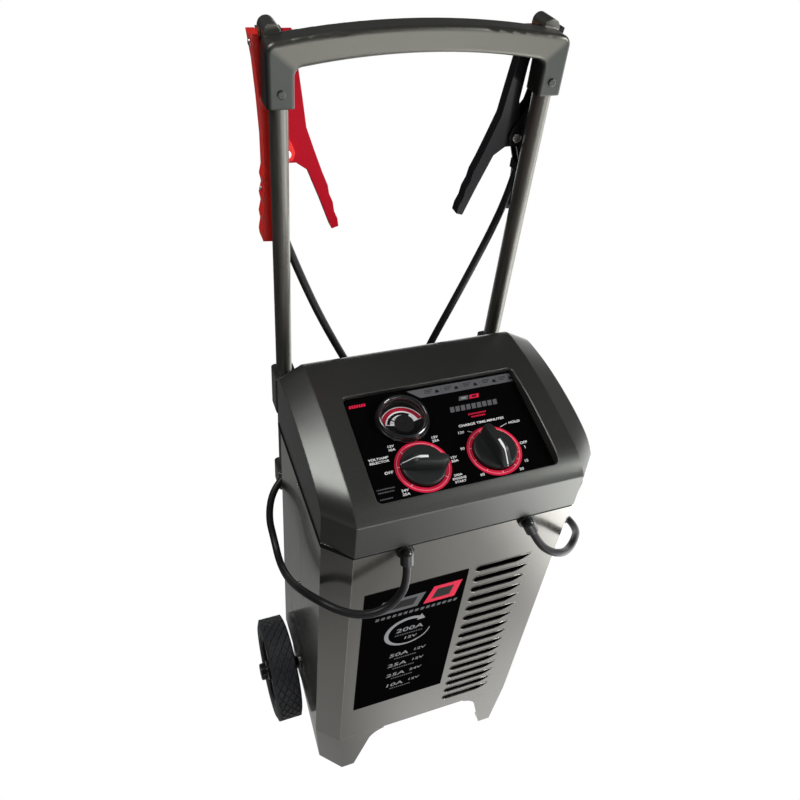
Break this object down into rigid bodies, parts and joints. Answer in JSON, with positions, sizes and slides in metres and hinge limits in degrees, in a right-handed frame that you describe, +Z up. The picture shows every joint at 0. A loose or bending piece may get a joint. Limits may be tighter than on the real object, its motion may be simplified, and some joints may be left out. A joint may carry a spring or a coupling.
{
  "type": "wheeled car battery charger",
  "caption": "Upright wheeled car battery charger: sheet-metal cabinet with louvres, sloping control hood with dial, meter and timer, tall grip handle, spring clamps on leads",
  "frame": {"origin": "on the floor, under the middle of the charger's bounding box without its leads", "axes": "+Z up, -Y is the front with the louvres and the control panel, +X to the right seen from the front"},
  "size_m": [0.443, 0.3398, 1.0145],
  "materials": {
    "cabinet_paint": "semi-gloss metallic grey",
    "zinc_steel": "zinc plated",
    "tyre": "dark rubber with a diamond tread",
    "rim_plastic": "black moulded",
    "hood_plastic": "fine satin texture",
    "panel_black": "printed black",
    "black_plastic": "black moulded",
    "clear_lens": "clear",
    "dial_white": "printed",
    "tube_paint": "semi-gloss gunmetal",
    "clamp_red": "glossy",
    "clamp_black": "glossy",
    "copper": "copper plated",
    "core_iron": "varnished laminations",
    "aluminium": "extruded",
    "lead_rubber": "smooth sheath with a slight sheen"
  },
  "bodies": {
    "root": {"front_cover": "cabinet_paint", "rear_cover": "cabinet_paint", "left_front_leg": "cabinet_paint", "right_front_leg": "cabinet_paint", "base_pan": "cabinet_paint", "axle_brackets": "cabinet_paint", "seam_strips": "zinc_steel", "cover_screws": "zinc_steel", "axle": "zinc_steel", "axle_spacers": "black_plastic", "axle_caps": "black_plastic", "handle_fasteners": "zinc_steel", "clamp_rivets": "zinc_steel", "clamp_springs": "zinc_steel", "transformer_brackets": "zinc_steel", "chassis_shelf": "zinc_steel", "fan_bracket": "zinc_steel", "fan_motor": "zinc_steel", "control_hood": "hood_plastic", "handle_grip": "hood_plastic", "upper_tube_brackets": "hood_plastic", "lower_tube_brackets": "hood_plastic", "control_panel": "panel_black", "front_label_plate": "panel_black", "meter_case": "black_plastic", "meter_bezel": "black_plastic", "meter_cover": "black_plastic", "meter_movement": "black_plastic", "meter_lens": "clear_lens", "meter_dial": "dial_white", "selector_switch": "black_plastic", "timer_mechanism": "black_plastic", "left_handle_tube": "tube_paint", "right_handle_tube": "tube_paint", "lead_glands": "black_plastic", "mains_cord_gland": "black_plastic", "circuit_breaker": "black_plastic", "positive_clamp_outer_half": "clamp_red", "negative_clamp_outer_half": "clamp_black", "outer_jaws": "copper", "transformer_core": "core_iron", "transformer_windings": "copper", "rectifier_heat_sink": "aluminium", "rectifier_diodes": "zinc_steel", "positive_lead": "lead_rubber", "negative_lead": "lead_rubber"},
    "left_wheel": {"left_tyre": "tyre", "left_wheel_rim": "rim_plastic"},
    "right_wheel": {"right_tyre": "tyre", "right_wheel_rim": "rim_plastic"},
    "selector": {"selector_knob": "black_plastic", "selector_shaft": "zinc_steel"},
    "timer": {"timer_knob": "black_plastic", "timer_shaft": "zinc_steel"},
    "needle": {"meter_needle": "panel_black"},
    "fan": {"fan_blades": "black_plastic"},
    "positive_clamp_lever": {"positive_clamp_inner_half": "clamp_red", "positive_inner_jaw": "copper"},
    "negative_clamp_lever": {"negative_clamp_inner_half": "clamp_black", "negative_inner_jaw": "copper"}
  },
  "joints": [
    {"name": "left_wheel_spin", "type": "hinge", "parent": "root", "child": "left_wheel", "pos_m": [-0.191, 0.009, 0.08], "axis": [1, 0, 0], "continuous": true},
    {"name": "right_wheel_spin", "type": "hinge", "parent": "root", "child": "right_wheel", "pos_m": [0.191, 0.009, 0.08], "axis": [1, 0, 0], "continuous": true},
    {"name": "selector_turn", "type": "hinge", "parent": "root", "child": "selector", "pos_m": [-0.044, -0.09519, 0.62553], "axis": [0, -0.225, 0.9744], "range_deg": [-304, 0]},
    {"name": "timer_turn", "type": "hinge", "parent": "root", "child": "timer", "pos_m": [0.0435, -0.09431, 0.62573], "axis": [0, -0.225, 0.9744], "range_deg": [-228, 82]},
    {"name": "needle_swing", "type": "hinge", "parent": "root", "child": "needle", "pos_m": [-0.047, -0.03916, 0.63846], "axis": [0, -0.225, 0.9744], "range_deg": [-96, 0], "stiffness_Nm_per_rad": 0.0002},
    {"name": "fan_spin", "type": "hinge", "parent": "root", "child": "fan", "pos_m": [0, 0.056, 0.33], "axis": [0, 1, 0], "continuous": true},
    {"name": "positive_clamp_squeeze", "type": "hinge", "parent": "root", "child": "positive_clamp_lever", "pos_m": [-0.135, 0.151, 0.883], "axis": [0, 1, 0], "range_deg": [0, 22], "stiffness_Nm_per_rad": 3, "springref_deg": -17.19},
    {"name": "negative_clamp_squeeze", "type": "hinge", "parent": "root", "child": "negative_clamp_lever", "pos_m": [0.135, 0.151, 0.883], "axis": [0, 1, 0], "range_deg": [-22, 0], "stiffness_Nm_per_rad": 3, "springref_deg": 17.19}
  ]
}
